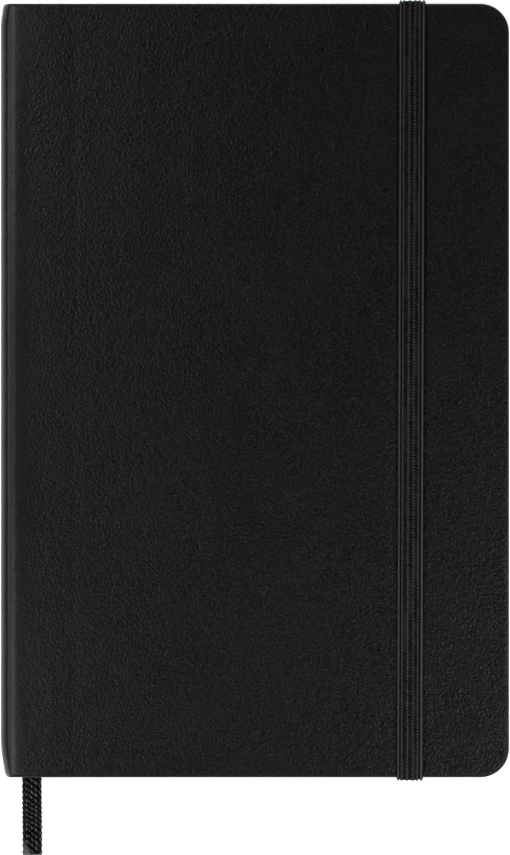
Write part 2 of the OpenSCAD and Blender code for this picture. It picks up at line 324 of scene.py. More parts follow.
LEATHER = leather_material()
ELASTIC = elastic_material()
RIBBON = ribbon_material()
PAGES = paper_material("page_paper", (0.86, 0.81, 0.67), (0.81, 0.75, 0.6))
END_PAPER = paper_material("end_paper", (0.84, 0.79, 0.64), (0.78, 0.72, 0.57), grain=0.5)
CARD = paper_material("pocket_card", (0.82, 0.76, 0.6), (0.75, 0.69, 0.53), grain=0.7)
POCKET_CLOTH = cloth_material("pocket_cloth", (0.03, 0.03, 0.031), (0.008, 0.008, 0.008), 0.35)
LINING_CLOTH = cloth_material("lining_cloth", (0.62, 0.59, 0.5), (0.36, 0.34, 0.28), 0.5)
BOARD = board_material()
THREAD = thread_material()


# ---------------------------------------------------------------- mesh helpers
def add_piece(name, points, faces, material, sharp_deg=40.0):
    """A mesh piece from points in millimetres."""
    mesh = bpy.data.meshes.new(name)
    mesh.from_pydata((np.asarray(points, float) * MM).tolist(), [], faces)
    mesh.polygons.foreach_set("use_smooth", [True] * len(mesh.polygons))
    mesh.set_sharp_from_angle(angle=math.radians(sharp_deg))
    mesh.materials.append(material)
    mesh.update()
    piece = bpy.data.objects.new(name, mesh)
    bpy.context.scene.collection.objects.link(piece)
    return piece


def loft(rings):
    """Points and faces of a closed tube through rings that each run the same way round."""
    rings = np.asarray(rings, float)
    count, size = rings.shape[:2]
    points = rings.reshape(-1, 3)
    i, j = np.meshgrid(np.arange(count - 1), np.arange(size), indexing="ij")
    a, b = i * size + j, i * size + (j + 1) % size
    faces = np.stack([a, b, b + size, a + size], -1).reshape(-1, 4).tolist()
    faces.append(list(range(size))[::-1])
    faces.append(list(range((count - 1) * size, count * size)))
    return points, faces


def smooth_path(points, step):
    """A smooth curve through the points: its own points, and how far along it each lies.

    The step between them is a number, or a function that gives the distances.
    """
    p = np.asarray(points, float)
    p = np.vstack([2 * p[0] - p[1], p, 2 * p[-1] - p[-2]])
    dense = []
    for k in range(1, len(p) - 2):
        t = np.linspace(0, 1, 40, endpoint=False)[:, None]
        a, b, c, d = p[k - 1], p[k], p[k + 1], p[k + 2]
        dense.append(0.5 * (2 * b + (c - a) * t + (2 * a - 5 * b + 4 * c - d) * t ** 2
                            + (3 * b - a - 3 * c + d) * t ** 3))
    dense = np.vstack([*dense, p[-2][None]])
    along = np.r_[0, np.cumsum(np.linalg.norm(np.diff(dense, axis=0), axis=1))]
    stations = step(along, dense) if callable(step) else np.arange(0, along[-1], step)
    stations = np.unique(np.r_[stations, along[-1]])
    return np.stack([np.interp(stations, along, dense[:, n]) for n in range(3)], 1), stations


def set_painted_light(piece, values):
    """Keeps each point's painted highlight and shade, 0 to 1, that the material turns into
    colour.
    """
    attribute = piece.data.attributes.new("lift_and_painted_light", "FLOAT", "POINT")
    attribute.data.foreach_set("value", values.ravel().astype(np.float32))


def bump_row(offset, half):
    """A round bump's height, 1 at its middle and 0 from half away."""
    return np.sqrt(np.clip(1 - (offset / half) ** 2, 0, 1))


# ---------------------------------------------------------------- ribbon
RIBBON_Z = (node_box(gathering(7))[1][2] + node_box(gathering(6))[0][2]) / 2
RIBBON_X = SPINE_X + 5.6
RIBBON_WIDTH = 3.5
# the route repeats the ribbon's route in part.scad
HEAD_ROUTE = [(RIBBON_X - 0.75, 67.4, RIBBON_Z), (RIBBON_X - 0.35, 66, RIBBON_Z),
              (RIBBON_X, 63.5, RIBBON_Z)]
INNER_ROUTE = [(RIBBON_X, 56 - 10 * n, RIBBON_Z) for n in range(13)]
TAIL_ROUTE = [(RIBBON_X, y, z) for y, z in
              ((-69.5, RIBBON_Z), (-72.5, 5.9), (-75, 4.6), (-77, 2.8), (-79, 1.2),
               (-81.5, 0.5), (-84.3, 0.35))]
RIBBON_ROUTE = HEAD_ROUTE + INNER_ROUTE + TAIL_ROUTE
RIBBON_SHOWN_Y = -67.0      # from here to the end the weave is modelled finely
STITCH_PITCH = 1.15
BACK_SHIFT = 0.3            # the weave on the back is this far out of step with the front's
# stitch columns of the plait: place across, half width, half length, lean, phase, painted
# highlight
STITCHES = [
    (1.43, 0.13, 0.3, 0.0, 0.45, 0.75), (0.73, 0.16, 0.38, 0.05, 0.0, 1.0),
    (-0.04, 0.15, 0.33, 0.32, 0.55, 0.8), (-0.98, 0.19, 0.4, -0.3, 0.1, 0.65),
    (-1.56, 0.12, 0.6, 0.0, 0.6, 0.35), (0.36, 0.14, 0.28, -0.35, 0.3, 0.35),
    (1.1, 0.13, 0.28, -0.35, 0.75, 0.3), (-0.5, 0.14, 0.3, 0.3, 0.85, 0.5),
    (-1.28, 0.12, 0.28, 0.3, 0.4, 0.35),
]
RIBBON_THIN, RIBBON_FULL = 0.26, 0.5    # thickness between the leaves and outside
RIBBON_COLUMNS = 45
HIDDEN_STEP, SHOWN_STEP = 0.22, 0.11
SEAL_LENGTH = 3.0           # the heat-sealed end reaches furthest up on one side


def ribbon_steps(along, dense):
    shown = along[np.argmax(dense[:, 1] < RIBBON_SHOWN_Y)]
    return np.r_[np.arange(0, shown, HIDDEN_STEP), np.arange(shown, along[-1], SHOWN_STEP)]


def uneven(count, seed):
    """A value from -1 to 1 for each whole number in count, the same every run."""
    return 2 * ((np.sin(count * 12.9898 + seed * 78.233) * 437.585) % 1.0) - 1


def stitches(u, v):
    """Height and painted highlight, 0 to 1, of the plaited weave at u across and v along the
    ribbon.
    """
    high = np.zeros(np.broadcast(u, v).shape)
    painted_light = np.zeros(high.shape)
    for place, half, reach, lean, phase, bright in STITCHES:
        turn = v / STITCH_PITCH + phase
        count = np.floor(turn)
        w = (turn - count - 0.5 + 0.14 * uneven(count, place)) * STITCH_PITCH
        vary = 1 + 0.35 * uneven(count, place + 3)
        shift = 0.05 * uneven(count, place + 5)
        bulge = bump_row(np.hypot((u - place - shift - lean * w) / half, w / reach), 1.0)
        high = np.maximum(high, bulge * (0.6 + 0.4 * bright))
        painted_light = np.maximum(painted_light, bulge ** 1.6 * bright * vary)
    return high, np.clip(painted_light, 0, 1)


def add_ribbon():
    centre, along = smooth_path(RIBBON_ROUTE, ribbon_steps)
    tangent = np.gradient(centre, along, axis=0)
    tangent /= np.linalg.norm(tangent, axis=1)[:, None]
    side = np.stack([-tangent[:, 1], tangent[:, 0], np.zeros(len(centre))], 1)
    side /= np.linalg.norm(side, axis=1)[:, None]
    normal = np.cross(tangent, side)
    u = np.linspace(-1, 1, RIBBON_COLUMNS) * RIBBON_WIDTH / 2
    shown = smooth((RIBBON_SHOWN_Y - centre[:, 1]) / 2.5)[:, None]
    half = (RIBBON_THIN + (RIBBON_FULL - RIBBON_THIN) * shown) / 2
    reach = 0.25 + SEAL_LENGTH * np.clip((-0.2 - u[None]) / 1.5, 0, 1)
    sealed = smooth(1.25 - (along[-1] - along[:, None]) / reach)
    rounding = np.sqrt(np.clip(1.06 - (np.abs(u) / (RIBBON_WIDTH / 2)) ** 6, 0, 1))[None]
    rings, painted_light_rows = [], []
    for sign in (1, -1):
        order = u if sign > 0 else u[::-1]
        weave, painted_light = stitches(order[None], along[:, None] + (0 if sign > 0 else BACK_SHIFT))
        seal = sealed if sign > 0 else sealed[:, ::-1]
        # painted highlight on the stitches; the sealed end is given an even 0.75 of the light
        # colour
        painted_light_rows.append(painted_light * (1 - seal) + 0.75 * seal)
        rise = half * (0.45 + 0.55 * (weave * (1 - seal) + 0.35 * seal))
        edge = 1.0 + 0.035 * np.cos(2 * np.pi * along / STITCH_PITCH)[:, None] * shown
        across = order[None] * edge
        lift_and_painted_light = sign * rise * rounding
        rings.append(centre[:, None] + across[..., None] * side[:, None]
                     + lift_and_painted_light[..., None] * normal[:, None])
    points, faces = loft(np.concatenate(rings, axis=1))
    piece = add_piece("ribbon_marker", points, faces, RIBBON, sharp_deg=80)
    set_painted_light(piece, np.concatenate(painted_light_rows, axis=1))
    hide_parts("ribbon_bookmark")
    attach(piece, gathering(7))
    path = [tuple(p * MM) for p in smooth_path(RIBBON_ROUTE, 2.0)[0]]


add_ribbon()


# ---------------------------------------------------------------- covers
CORNER_R = 5.2
BOARD_X = node_box("front_board")[0][0]
COVER_X0 = BOARD_X - 0.05   # the covers' skins meet the spine's skin here
ROUND_R = 2.9               # radius of the spine's rounded edges
ROUND_BULGE = 0.1           # how far the spine's middle stands out between them
SKIN_T = 0.3
RIM_T = 0.25                # the skin's thickness round the board's edge
TURN_IN = 8.0               # how far the skin is turned in under the board
BAND_LOW, BAND_HIGH = node_box("band_end_head")
BAND_X = (BAND_LOW[0] + BAND_HIGH[0]) / 2
BAND_WIDTH = 4.7
BAND_LEAN = 0.25            # the strand leans this far either way at the ends
# the band presses a line into the front cover along each of its edges
PRESS_DEPTH, PRESS_WIDTH, PRESS_OUT = 0.19, 0.26, 0.12
# the channel in the back cover for the band's end: its depth is a share of the cover
CHANNEL_HALF, CHANNEL_DEPTH = 2.75, 0.6
SLOT_Y = BAND_LOW[1] + 8.0  # the band goes in through the cover here
HINGE_CREASE_X = SPINE_X + 13.3
CREASE_DEPTH, CREASE_WIDTH = 0.05, 0.9


def spine_table():
    """Heights above the spine's middle, and how far in its surface lies at each."""
    height = np.linspace(0, MID_Z, 4001)
    corner = np.clip(height - (MID_Z - ROUND_R), 0, ROUND_R)
    return height, (ROUND_BULGE * (height / MID_Z) ** 2
                    + ROUND_R - np.sqrt(ROUND_R ** 2 - corner ** 2))


SPINE_HEIGHT, SPINE_IN = spine_table()
EASE_DROP, EASE_LENGTH = 0.05, 6.0      # the shoulder eases on into the flat cover
SPINE_SQUASH = (MID_Z - EASE_DROP) / MID_Z


def shoulder_drop(x):
    """How far the rounded shoulder lies below a cover's outer face."""
    ease = np.clip(1 - (x - COVER_X0) / EASE_LENGTH, 0, 1)
    round_part = MID_Z - np.interp(x - SPINE_X, SPINE_IN, SPINE_HEIGHT)
    return round_part * SPINE_SQUASH + EASE_DROP * ease ** 2


def channel(x, y):
    """1 where the band's end presses the back cover in, 0 outside."""
    across = smooth((CHANNEL_HALF - np.abs(x - BAND_X)) / 0.35)
    return across * smooth((np.abs(y) - SLOT_Y + 0.1) / 0.25)


def cover_curves(inset, x0, xs, ys):
    """A cover's outline moved in by inset, as four curves between its grid corners."""
    r = max(CORNER_R - inset, 0.9)
    x1, y1 = FORE_X - inset, HALF_Y - inset
    arc = np.radians(np.linspace(0, 45, 7)[1:])
    tx = x0 + xs * (x1 - r - x0)
    top_x = np.r_[tx, x1 - r + r * np.sin(arc)]
    top_y = np.r_[np.full(len(tx), y1), y1 - r + r * np.cos(arc)]
    ry = (y1 - r) * ys
    side_x = np.r_[x1 - r + r * np.cos(arc[::-1]), np.full(len(ry), x1),
                   x1 - r + r * np.cos(arc)]
    side_y = np.r_[-(y1 - r) - r * np.sin(arc[::-1]), ry, y1 - r + r * np.sin(arc)]
    v = (side_y - side_y[0]) / (side_y[-1] - side_y[0])
    left_y = -y1 + 2 * y1 * v
    top = np.stack([top_x, top_y], 1)
    right = np.stack([side_x, side_y], 1)
    left = np.stack([np.full(len(left_y), x0), left_y], 1)
    return top * (1, -1), right, top, left


def cover_grid(inset, x0, xs, ys):
    """A grid of points that fills the outline."""
    bottom, right, top, left = cover_curves(inset, x0, xs, ys)
    u = ((top[:, 0] - x0) / (top[-1, 0] - x0))[:, None, None]
    v = ((right[:, 1] - right[0, 1]) / (right[-1, 1] - right[0, 1]))[None, :, None]
    grid = (1 - v) * bottom[:, None] + v * top[:, None] + (1 - u) * left[None] + u * right[None]
    grid -= ((1 - u) * (1 - v) * bottom[0] + u * (1 - v) * bottom[-1]
             + (1 - u) * v * top[0] + u * v * top[-1])
    return grid


def cover_ring(inset, x0, xs, ys):
    """The outline's points in one ring, which match the grid's border."""
    bottom, right, top, left = cover_curves(inset, x0, xs, ys)
    return np.vstack([bottom[:-1], right[:-1], top[::-1][:-1], left[::-1][:-1]])


# how the edge runs: distance in from the outline, and depth below the outer face
EDGE = [(1.1, 0.0), (0.75, 0.012), (0.5, 0.05), (0.32, 0.11), (0.18, 0.2), (0.08, 0.32),
        (0.02, 0.46), (0.0, 0.58), (0.03, 0.74), (0.1, 0.87), (0.22, 0.96), (0.4, 1.0)]
TURNED_LEVEL = 0.76         # depth of the turned-in skin's face against the board
GRID_INSET = 2.0            # inside this the faces are a grid, outside it rings
GRID_STEP = 1.7
WAVE_AMOUNT = 0.028


def waviness(x, y, seed):
    """Slight unevenness of the soft cover, in millimetres."""
    a = np.sin(x / 7.3 + 1.3 * np.sin(y / 19.0 + seed)) * np.sin(y / 9.1 + seed)
    b = np.sin(x / 3.1 + y / 4.7 + seed * 2) * np.sin(y / 3.9 - x / 5.3)
    return WAVE_AMOUNT * (0.6 * a + 0.4 * b)


def cover_lines(front):
    """Where the cover's grid lines run: shares of its width, and shares of its half height."""
    steps = np.arange(2.0, 3.3, 0.14) if front else (2.3, 2.45, 2.6, 2.75, 2.9)
    fine = [BAND_X + s * d for s in (-1, 1) for d in steps]
    crease = [HINGE_CREASE_X + d for d in (-1.6, -0.8, -0.4, 0, 0.4, 0.8, 1.6)]
    plain = np.arange(COVER_X0 + 0.2, FORE_X - CORNER_R, GRID_STEP)
    keep = [x for x in plain if all(abs(x - f) > 0.5 for f in fine + crease)]
    near = [COVER_X0 + d for d in (0, 0.2, 0.4, 0.65, 1.0)]
    x_line = np.unique(np.round([*keep, *fine, *crease, *near, FORE_X - CORNER_R], 4))
    y_line = list(np.linspace(-1, 1, 61))
    if not front:
        slot = [(SLOT_Y + d) / (HALF_Y - CORNER_R) for d in (-0.4, -0.15, 0.0, 0.15, 0.4)]
        y_line = [y for y in y_line if all(abs(abs(y) - s) > 0.004 for s in slot)]
        y_line += slot + [-s for s in slot]
    return (x_line - COVER_X0) / (x_line[-1] - COVER_X0), np.array(sorted(y_line))


def cover_shell(xs, ys):
    """Points as (x, y, share of the cover's thickness below its outer face), and faces."""
    board_x = BOARD_X + 0.01
    board_edge = RIM_T + 0.02
    rings = [(GRID_INSET, 0.0, COVER_X0), *((d, z, COVER_X0) for d, z in EDGE),
             (TURN_IN, 1.0, COVER_X0), (TURN_IN, TURNED_LEVEL, board_x),
             (board_edge, TURNED_LEVEL, board_x), (board_edge, SKIN_T, board_x),
             (GRID_INSET, SKIN_T, board_x)]
    points, faces = [], []
    for inset, drop, x0 in rings:
        ring = cover_ring(inset, x0, xs, ys)
        points.append(np.c_[ring, np.full(len(ring), drop)])
    size = len(points[0])
    for n in range(len(rings) - 1):
        for j in range(size):
            k = (j + 1) % size
            faces.append([n * size + j, n * size + k, (n + 1) * size + k, (n + 1) * size + j])
    for ring_index, x0, drop, flip in ((0, COVER_X0, 0.0, True),
                                       (len(rings) - 1, board_x, SKIN_T, False)):
        grid = cover_grid(GRID_INSET, x0, xs, ys)
        nu, nv = grid.shape[:2]
        index = np.full((nu, nv), -1)
        border = [(i, 0) for i in range(nu - 1)] + [(nu - 1, j) for j in range(nv - 1)]
        border += [(i, nv - 1) for i in range(nu - 1, 0, -1)]
        border += [(0, j) for j in range(nv - 1, 0, -1)]
        for n, (i, j) in enumerate(border):
            index[i, j] = ring_index * size + n
        start = sum(len(p) for p in points)
        inner = grid[1:-1, 1:-1].reshape(-1, 2)
        index[1:-1, 1:-1] = start + np.arange(len(inner)).reshape(nu - 2, nv - 2)
        points.append(np.c_[inner, np.full(len(inner), drop)])
        quads = np.stack([index[:-1, :-1], index[1:, :-1], index[1:, 1:], index[:-1, 1:]], -1)
        quads = quads.reshape(-1, 4)
        faces += (quads if flip else quads[:, ::-1]).tolist()
    return np.vstack(points), faces


def add_cover(name, node, body, front):
    points, faces = cover_shell(*cover_lines(front))
    x, y, drop = points.T
    outer = 1 - smooth((drop - 0.1) / 0.3)
    inside = smooth((HALF_Y - np.abs(y)) / 3) * smooth((FORE_X - x) / 3)
    lower = shoulder_drop(x) * (1 - drop)
    groove = CREASE_DEPTH * np.exp(-((x - HINGE_CREASE_X) / CREASE_WIDTH) ** 2) * inside
    if front:
        beside = np.abs(x - BAND_X - BAND_LEAN * y / HALF_Y) - BAND_WIDTH / 2 - PRESS_OUT
        groove = groove + PRESS_DEPTH * np.exp(-(beside / PRESS_WIDTH) ** 2) * inside
    wave = waviness(x, y, 0.7 if front else 2.9) * inside * smooth((x - COVER_X0) / 4)
    drop = drop * COVER_T + lower + (groove - wave + WAVE_AMOUNT * inside) * outer
    if not front:
        drop = COVER_T - (COVER_T - drop) * (1 - CHANNEL_DEPTH * channel(x, y))
    z = TOP_Z - drop if front else drop
    points = np.c_[x, y, z]
    if not front:
        faces = [f[::-1] for f in faces]
    piece = add_piece(name, points, faces, LEATHER, sharp_deg=50)
    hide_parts(node)
    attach(piece, body)


add_cover("cover_front_skin", "front_skin", "front_cover", True)
add_cover("cover_back_skin", "back_skin", "back_cover", False)


# ---------------------------------------------------------------- spine
# how the spine's ends are pressed in: depth, length along the spine, and power of the curve
TAIL_PRESS = ((0.9, 6.5, 1.5), (0.3, 0.8, 2))
HEAD_PRESS = ((0.5, 3.8, 1.3), (0.25, 0.6, 2))
PRESS_REACH = 2.2           # how far in from the spine the pages are pressed too


def pressed(from_end, curves):
    return sum(depth * np.clip(1 - from_end / length, 0, 1) ** power
               for depth, length, power in curves)


def pinch(x, y):
    """Moves points near the spine's ends in towards the fore edge, as the ends are pressed in."""
    shift = pressed(HALF_Y + y, TAIL_PRESS) + pressed(HALF_Y - y, HEAD_PRESS)
    return x + shift * smooth((SPINE_X + PRESS_REACH - x) / PRESS_REACH)


def offset_line(line, distance):
    """The section line moved by distance towards the pages."""
    t = np.gradient(line, axis=0)
    t /= np.linalg.norm(t, axis=1)[:, None]
    return line + distance * np.stack([t[:, 1], -t[:, 0]], 1)


def spine_section():
    """The outer section line from the back cover to the front cover, as (x, z), each slat's
    slice of it, and the heights where the slats meet."""
    boxes = [node_box(gathering(k)) for k in range(GATHERINGS, 0, -1)]
    centres = [(low[2] + high[2]) / 2 for low, high in boxes]
    upper = np.stack([SPINE_X + SPINE_IN, MID_Z + SPINE_HEIGHT * SPINE_SQUASH], 1)
    lower = np.stack([SPINE_X + SPINE_IN, MID_Z - SPINE_HEIGHT * SPINE_SQUASH], 1)
    fine = np.vstack([lower[:0:-1], upper])
    fine = fine[fine[:, 0] <= COVER_X0]
    along = np.r_[0, np.cumsum(np.linalg.norm(np.diff(fine, axis=0), axis=1))]
    marks = [0, *np.interp(centres, fine[:, 1], along), along[-1]]
    stations, cuts = [0.0], [0]
    for n, (a, b) in enumerate(zip(marks, marks[1:])):
        # most rows where the spine bends most: at the covers, then where the book opens
        count = 14 if n in (0, GATHERINGS) else 9 if n == GATHERINGS // 2 else 4
        stations += list(np.linspace(a, b, count)[1:])
        cuts.append(len(stations) - 1)
    line = np.stack([np.interp(stations, along, fine[:, n]) for n in (0, 1)], 1)
    return line, list(zip(cuts, cuts[1:])), centres


SECTION, SLICES, CENTRES = spine_section()
SPINE_SKIN_T = 0.38
SPINE_LAYERS = [
    # name, material, slot, CAD node, outer and inner offset, length cut off at each end
    ("skin", LEATHER, "cover_leather", "spine_skin", 0.0, SPINE_SKIN_T, 0.0),
    ("card", BOARD, "board", "spine_strip", 0.42, 0.64, 1.0),
    ("cloth", LINING_CLOTH, "lining_cloth", "spine_lining", 0.67, 0.84, 6.0),
]
CREASE_Z = 1.25             # card and cloth stay this far inside the covers' faces
TURNED_EDGE, TURNED_IN = 0.3, 0.14      # the skin's ends round off over this length and depth
# rows of points at each end of the spine, as distances from the end
SPINE_ROWS = np.r_[0, 0.08, 0.2, 0.4, 0.7, 1.1, 1.6, 2.3, 3.1, 4, 5, 6.2, 8]


def slat_rows(cut):
    far = HALF_Y - cut
    near = far - SPINE_ROWS
    return np.r_[-near, np.linspace(-near[-1], near[-1], 27)[1:-1], near[::-1]]


def slat_rings(outer, inner, ys, cut, rounded):
    """Sections of one slat between its outer and inner line, at each place along the spine."""
    loop = np.vstack([outer, inner[::-1]])
    to_inner = np.vstack([inner - outer, np.zeros_like(inner)])
    rings = []
    for y in ys:
        turn = (1 - min((HALF_Y - cut - abs(y)) / TURNED_EDGE, 1)) ** 2 * TURNED_IN
        ring = loop + turn * to_inner / SPINE_SKIN_T if rounded else loop
        x = pinch(ring[:, 0], y)
        rings.append(np.c_[x, np.full(len(ring), y), ring[:, 1]])
    return rings


def add_spine():
    for name, material, slot, node, out, inn, cut in SPINE_LAYERS:
        outer, inner = offset_line(SECTION, out), offset_line(SECTION, inn)
        ys = slat_rows(cut)
        for n, (first, last) in enumerate(SLICES):
            if name != "skin":      # card and cloth stop inside the creases
                keep = [i for i in range(first, last + 1)
                        if CREASE_Z <= SECTION[i, 1] <= TOP_Z - CREASE_Z]
                first, last = keep[0], keep[-1]
            part = slice(first, last + 1)
            points, faces = loft(slat_rings(outer[part], inner[part], ys, cut, name == "skin"))
            piece = add_piece(f"spine_{name}_{n + 1:02d}", points, faces, material, sharp_deg=50)
            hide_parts(node)
            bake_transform(piece)


add_spine()


# ---------------------------------------------------------------- pages
PAGE_R = 4.0                # radius of the leaves' corners
LEAF_T = 0.078
SHEETS = 4                  # folded sheets in each gathering


def page_rows():
    arc = np.radians(np.arange(0, 91, 15))
    corner = PAGE_HIGH[1] - PAGE_R + PAGE_R * np.sin(arc)
    ends = PAGE_HIGH[1] - np.array([0.5, 1.6, 2.9, 4.6])
    half = np.unique(np.round(np.r_[0, 20, 40, 55, corner, ends], 4))
    return np.unique(np.r_[-half, half])


def fore_edge(y, fore):
    over = np.clip(np.abs(y) - (PAGE_HIGH[1] - PAGE_R), 0, PAGE_R)
    return fore - PAGE_R + np.sqrt(PAGE_R ** 2 - over ** 2)


def ribbon_dip(x, y):
    """How far a leaf next to the ribbon gives way to it."""
    on = smooth((RIBBON_WIDTH / 2 + 1.7 - np.abs(x - RIBBON_X + 0.2)) / 1.4)
    return RIBBON_THIN / 2 * on * smooth((HEAD_ROUTE[0][1] + 0.9 - y) / 0.8)


BEND_XS = np.r_[RIBBON_X + np.array([-3.3, -2.7, -2.2, -1.8, 0, 1.8, 2.2, 2.7, 3.3]),
                -20, 10, 34]


def leaf_line(k, y, middle, side, half, trim):
    """A leaf's section from the fold to the fore edge, at side above its gathering's middle."""
    xs = np.r_[BEND_XS, fore_edge(y, PAGE_HIGH[0] + trim)]
    zs = np.full(len(xs), middle + side)
    share = 1 - abs(abs(side) - half) / (2 * half)
    if k == 7 and side > 0:
        zs = zs - ribbon_dip(xs, y) * share
    if k == 6 and side < 0:
        zs = zs + ribbon_dip(xs, y) * share
    return np.stack([xs, zs], 1)


def sheet_rings(k, fold, middle, half, outside, ys):
    """Sections of one folded sheet whose outer faces are outside above and below the middle."""
    inside = outside - LEAF_T
    arc = np.radians(np.linspace(90, 270, 7))
    turn = np.stack([np.cos(arc), np.sin(arc)], 1)
    nose = (fold + half, middle) + outside * turn
    hollow = (fold + half, middle) + inside * turn
    upper, lower = [rng.uniform(-0.05, 0.05) for _ in range(2)]     # trimmed this much longer
    tall = 1 + rng.uniform(-0.04, 0.04) / PAGE_HIGH[1]
    rings = []
    for y in ys:
        loop = np.vstack([
            leaf_line(k, y, middle, outside, half, upper)[::-1], nose,
            leaf_line(k, y, middle, -outside, half, lower),
            leaf_line(k, y, middle, -inside, half, lower)[::-1], hollow[::-1],
            leaf_line(k, y, middle, inside, half, upper)])
        x = pinch(loop[:, 0], y * tall)
        rings.append(np.c_[x, np.full(len(loop), y * tall), loop[:, 1]])
    return rings


def add_pages():
    ys = page_rows()
    for k in range(1, GATHERINGS + 1):
        low, high = node_box(gathering(k))
        half = (high[2] - low[2]) / 2
        points, faces, start = [], [], 0
        for i in range(SHEETS):
            outside = half - i * half / SHEETS
            sheet, sheet_faces = loft(
                sheet_rings(k, low[0], (low[2] + high[2]) / 2, half, outside, ys))
            points.append(sheet)
            faces += [[v + start for v in face] for face in sheet_faces]
            start += len(sheet)
        piece = add_piece(f"leaves_{k:02d}", np.vstack(points), faces, PAGES, sharp_deg=30)
        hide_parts(gathering(k))
        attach(piece, gathering(k))


add_pages()


# ---------------------------------------------------------------- elastic band
BAND_PITCH = 0.54           # length of one stitch of the knit
BAND_LEG_Y = HALF_Y + 0.36
# the six ribs: place across the band, half width, painted highlight, and how sharp and how beaded
# each painted highlight is
RIB_CENTRES = (0.2, 0.83, 1.82, 2.85, 3.66, 4.36)
RIB_HALVES = (0.23, 0.23, 0.23, 0.24, 0.25, 0.25)
RIB_PAINTED_HIGHLIGHT = (0.9, 0.55, 0.6, 0.58, 0.58, 1.0)
RIB_SHARP = (2.6, 1.8, 1.6, 1.6, 1.8, 2.8)
BEADS = (0.0, 0.12, 0.4, 0.4, 0.15, 0.0)
KNIT_HEIGHT = 0.5           # heights are shares of how far the ribs stand out
PIT_DEPTH = 1.0
KNIT_PAINTED_LIGHT = 0.22
RIB_SWAY = 0.045            # the two middle ribs sway this far with each stitch
RIB_RISE = 0.3
BAND_COLUMNS, BAND_STEP = 43, 0.105
BAND_UNDER, BAND_UNDER_EDGE = -0.29, -0.16
EDGE_ROUND = 0.3


def band_route():
    """Centre line in y and z, from one glued end to the other."""
    floor_z, top_z = 0.32, TOP_Z + 0.3
    r_low, r = 0.46, 0.62       # bends under the back cover and over the front cover
    end = [(-SLOT_Y + 1.4, 0.78), (-SLOT_Y + 0.5, 0.68), (-SLOT_Y - 0.3, 0.45),
           (-SLOT_Y - 0.9, floor_z + 0.02), (-SLOT_Y - 1.6, floor_z)]
    under = [(-HALF_Y + d, floor_z) for d in (6.0, 3.5, 1.5, 0.6)]
    low = [(-HALF_Y + 0.1 - r_low * math.sin(a), floor_z + r_low * (1 - math.cos(a)))
           for a in np.radians((15, 35, 55, 75))]
    leg = [(-BAND_LEG_Y, z) for z in np.linspace(1.0, TOP_Z - r + 0.3, 6)]
    high = [(-BAND_LEG_Y + r * (1 - math.cos(a)), top_z - r + r * math.sin(a))
            for a in np.radians((20, 40, 60, 80))]
    over = [(-HALF_Y + d, top_z) for d in (0.6, 2.0, 5.0)]
    half = end + under + low + leg + high + over
    middle = [(y, top_z) for y in np.linspace(-55, 55, 12)]
    return np.array(half + middle + [(-y, z) for y, z in half[::-1]])


def band_height(o, v):
    """Height and painted light, 0 to 1, of the ribs and the knit between them: painted highlights
    on the ribs and beads, painted shade in the pits.
    """
    shape = np.broadcast(o, v).shape
    high, painted_light = np.zeros(shape), np.zeros(shape)
    inside = smooth((o - RIB_CENTRES[1]) / 0.1) * smooth((RIB_CENTRES[4] - o) / 0.1)
    high, painted_light = high + KNIT_HEIGHT * inside, painted_light + KNIT_PAINTED_LIGHT * inside
    cycle = 2 * np.pi * v / BAND_PITCH
    for n, (c, half, bright) in enumerate(zip(RIB_CENTRES, RIB_HALVES, RIB_PAINTED_HIGHLIGHT)):
        inner = RIB_SWAY if n in (2, 3) else 0.0
        beads = 1 + BEADS[n] * np.cos(cycle + n * 1.3)
        rib = bump_row(o - c - inner * np.sin(cycle + n * 2.1), half)
        high = np.maximum(high, rib)
        painted_light = np.maximum(painted_light, rib ** RIB_SHARP[n] * bright * beads)
    # rows of pits in the three strips of knit, each also painted shade that darkens the colour;
    # they open and close slowly along the band
    for n, (a, b) in enumerate(zip(RIB_CENTRES[1:4], RIB_CENTRES[2:5])):
        drift = np.sin(v / 6.3 + 2.1 * n) * np.sin(v / 2.9 + n)
        open_knit = 0.5 + 0.5 * smooth(0.9 + 1.1 * drift)
        for s in (-1, 1):
            turn = v / BAND_PITCH + 0.25 * s + 0.3 * n
            count = np.floor(turn)
            across = o - (a + b) / 2 - 0.18 * s - 0.05 * uneven(count, n + 7)
            across = across / (0.23 + 0.06 * uneven(count, n))
            away = (turn - count - 0.5 + 0.12 * uneven(count, n + 3)) * BAND_PITCH
            reach = np.hypot(across, away / (0.14 + 0.03 * uneven(count, n + 5)))
            pit = open_knit * bump_row(reach, 1.0) ** 0.4
            high, painted_light = high - PIT_DEPTH * pit, painted_light * (1 - pit)
    return np.clip(high, KNIT_HEIGHT - PIT_DEPTH, 1), painted_light


